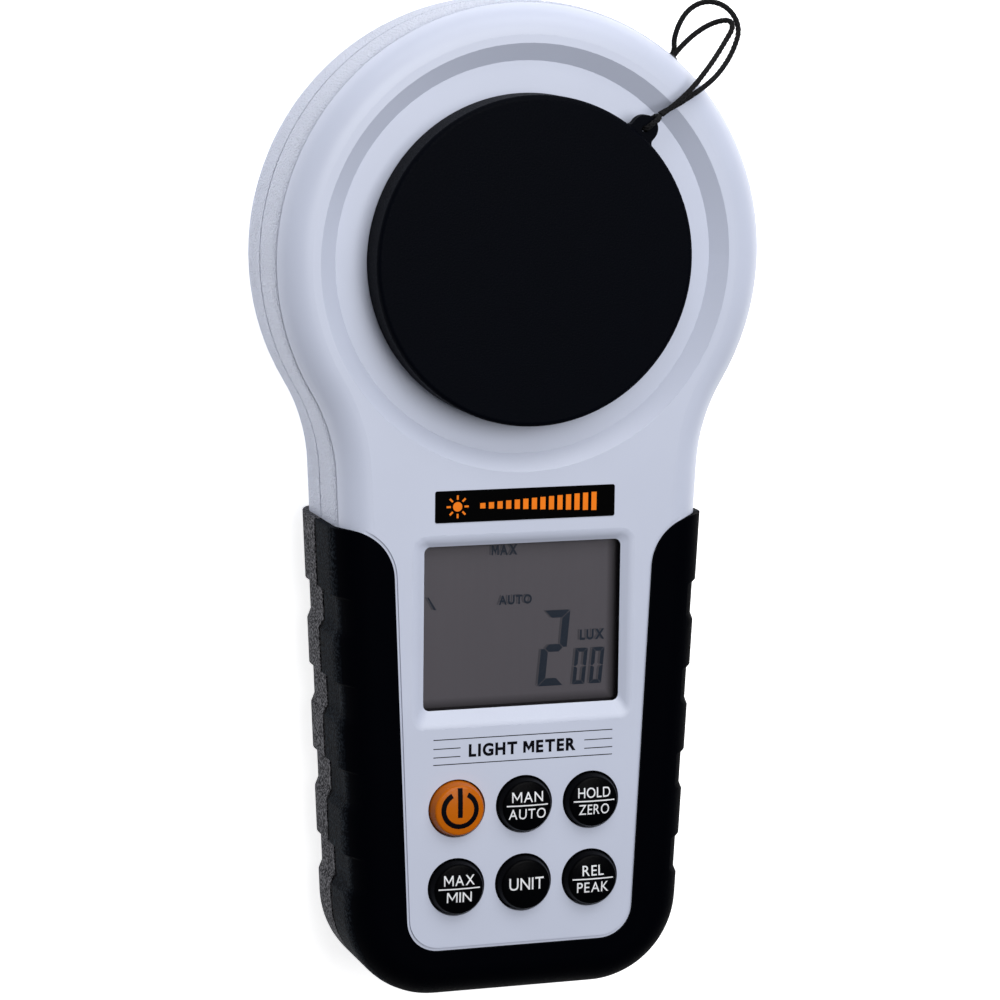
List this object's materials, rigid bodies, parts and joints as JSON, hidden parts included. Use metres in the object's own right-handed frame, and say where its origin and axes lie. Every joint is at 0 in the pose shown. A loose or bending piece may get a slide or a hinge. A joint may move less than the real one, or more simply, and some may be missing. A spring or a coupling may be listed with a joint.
{
  "type": "handheld light meter",
  "caption": "Handheld light meter: round sensor head with a tethered cap, display, push keys and a rubber-gripped tapering handle with a battery door at the back.",
  "frame": {"origin": "under the middle of the body, on the plane that the flat back rests on", "axes": "+Z out of the front face, +Y along the handle towards the sensor head, +X to the right seen from the front"},
  "size_m": [0.0928, 0.1839, 0.0381],
  "materials": {
    "shell_white": "smooth faces with a fine spark texture on the side walls",
    "grip_rubber": "satin overmould, fine grain on the sides",
    "plate_black": "satin black label",
    "clear_window": "clear polished lens",
    "lcd_grey": "dark warm grey liquid crystal cell",
    "reflector_white": "matt white",
    "contact_rubber": "striped elastomer",
    "circuit_board": "green solder mask",
    "chip_black": "moulded",
    "silicone_grey": "translucent silicone",
    "cap_black": "fine matt black",
    "diffuser_white": "translucent white",
    "inner_black": "matt black",
    "filter_green": "tinted glass",
    "diode_ceramic": "matt",
    "ribbon_amber": "polyimide film",
    "steel": "zinc plated",
    "brass": "turned",
    "cell_jacket": "printed metal jacket",
    "tether_cord": "braided",
    "key_black": "glossy with a printed legend",
    "key_orange": "glossy with a printed legend"
  },
  "bodies": {
    "root": {"front_housing": "shell_white", "rear_housing": "shell_white", "front_grip": "grip_rubber", "rear_grip": "grip_rubber", "name_plate": "plate_black", "display_window": "clear_window", "lcd_glass": "lcd_grey", "lcd_reflector": "reflector_white", "lcd_contact_strips": "contact_rubber", "main_board": "circuit_board", "sensor_board": "circuit_board", "board_chips": "chip_black", "keypad_mat": "silicone_grey", "diffuser_dome": "diffuser_white", "diffuser_bezel": "inner_black", "light_well": "inner_black", "correction_filter": "filter_green", "photodiode": "diode_ceramic", "sensor_ribbon": "ribbon_amber", "case_screws": "steel", "board_screws": "steel", "sensor_screws": "steel", "tripod_insert": "brass", "battery_holder": "inner_black", "battery_cells": "cell_jacket", "battery_springs": "steel", "contact_plates": "steel", "cord_bead": "inner_black", "cap_cord_inner": "tether_cord", "cap_cord_outer": "tether_cord"},
    "sensor_cap": {"sensor_cap": "cap_black", "cap_cord_knot": "tether_cord"},
    "battery_door": {"battery_door": "shell_white"},
    "door_screw": {"door_screw": "steel"},
    "power_key": {"power_key": "key_orange"},
    "range_key": {"range_key": "key_black"},
    "hold_key": {"hold_key": "key_black"},
    "peak_key": {"peak_key": "key_black"},
    "unit_key": {"unit_key": "key_black"},
    "relative_key": {"relative_key": "key_black"}
  },
  "joints": [
    {"name": "cap_lift", "type": "slide", "parent": "root", "child": "sensor_cap", "axis": [0, 0, 1], "range_m": [0, 0.015]},
    {"name": "battery_door_hinge", "type": "hinge", "parent": "root", "child": "battery_door", "pos_m": [0, -0.01185, 0.0011], "axis": [1, 0, 0], "range_deg": [0, 80]},
    {"name": "door_screw_turn", "type": "hinge", "parent": "battery_door", "child": "door_screw", "pos_m": [0, -0.07165, 0.0011], "axis": [0, 0, 1], "continuous": true},
    {"name": "power_key_press", "type": "slide", "parent": "root", "child": "power_key", "axis": [0, 0, -1], "range_m": [0, 0.0008], "stiffness_N_per_m": 300, "springref_m": -0.0003},
    {"name": "range_key_press", "type": "slide", "parent": "root", "child": "range_key", "axis": [0, 0, -1], "range_m": [0, 0.0008], "stiffness_N_per_m": 300, "springref_m": -0.0003},
    {"name": "hold_key_press", "type": "slide", "parent": "root", "child": "hold_key", "axis": [0, 0, -1], "range_m": [0, 0.0008], "stiffness_N_per_m": 300, "springref_m": -0.0003},
    {"name": "peak_key_press", "type": "slide", "parent": "root", "child": "peak_key", "axis": [0, 0, -1], "range_m": [0, 0.0008], "stiffness_N_per_m": 300, "springref_m": -0.0003},
    {"name": "unit_key_press", "type": "slide", "parent": "root", "child": "unit_key", "axis": [0, 0, -1], "range_m": [0, 0.0008], "stiffness_N_per_m": 300, "springref_m": -0.0003},
    {"name": "relative_key_press", "type": "slide", "parent": "root", "child": "relative_key", "axis": [0, 0, -1], "range_m": [0, 0.0008], "stiffness_N_per_m": 300, "springref_m": -0.0003}
  ]
}
